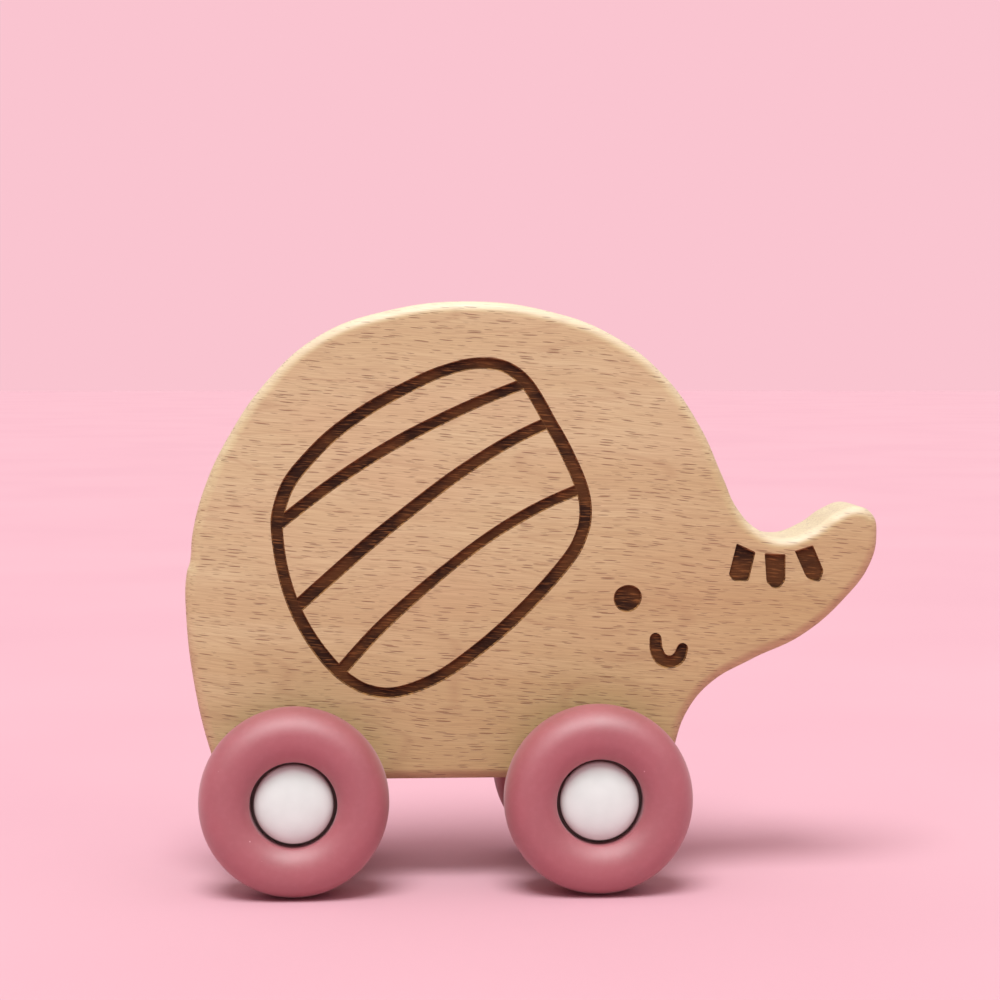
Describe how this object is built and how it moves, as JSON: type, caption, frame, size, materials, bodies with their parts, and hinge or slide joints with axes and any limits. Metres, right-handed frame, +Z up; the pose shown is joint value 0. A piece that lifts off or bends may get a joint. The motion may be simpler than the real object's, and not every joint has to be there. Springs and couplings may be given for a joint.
{
  "type": "push along toy",
  "caption": "Flat wooden elephant push-along toy with an engraved ear and face, rolling on soft silicone-tyred wheels with domed hub caps.",
  "frame": {"origin": "on the floor, below the middle of the toy's bounding box", "axes": "+X towards the trunk, +Y across the toy to its left wheels, +Z up"},
  "size_m": [0.1305, 0.0504, 0.1094],
  "materials": {
    "beech": "fine sanded and oiled",
    "silicone": "satin",
    "cap_plastic": "gloss",
    "hub_plastic": "satin",
    "nylon": "satin",
    "steel": "brushed"
  },
  "bodies": {
    "elephant": {"elephant_body": "beech", "rear_axle_sleeve": "nylon", "front_axle_sleeve": "nylon"},
    "rear_wheelset": {"rear_axle": "steel", "rear_right_tyre": "silicone", "rear_right_hub": "hub_plastic", "rear_right_hub_cap": "cap_plastic", "rear_right_washer": "nylon", "rear_left_tyre": "silicone", "rear_left_hub": "hub_plastic", "rear_left_hub_cap": "cap_plastic", "rear_left_washer": "nylon"},
    "front_wheelset": {"front_axle": "steel", "front_right_tyre": "silicone", "front_right_hub": "hub_plastic", "front_right_hub_cap": "cap_plastic", "front_right_washer": "nylon", "front_left_tyre": "silicone", "front_left_hub": "hub_plastic", "front_left_hub_cap": "cap_plastic", "front_left_washer": "nylon"}
  },
  "joints": [
    {"name": "rear_wheels_roll", "type": "hinge", "parent": "elephant", "child": "rear_wheelset", "pos_m": [-0.0449, 0, 0.0175], "axis": [0, 1, 0], "continuous": true},
    {"name": "front_wheels_roll", "type": "hinge", "parent": "elephant", "child": "front_wheelset", "pos_m": [0.0112, 0, 0.0175], "axis": [0, 1, 0], "continuous": true}
  ]
}
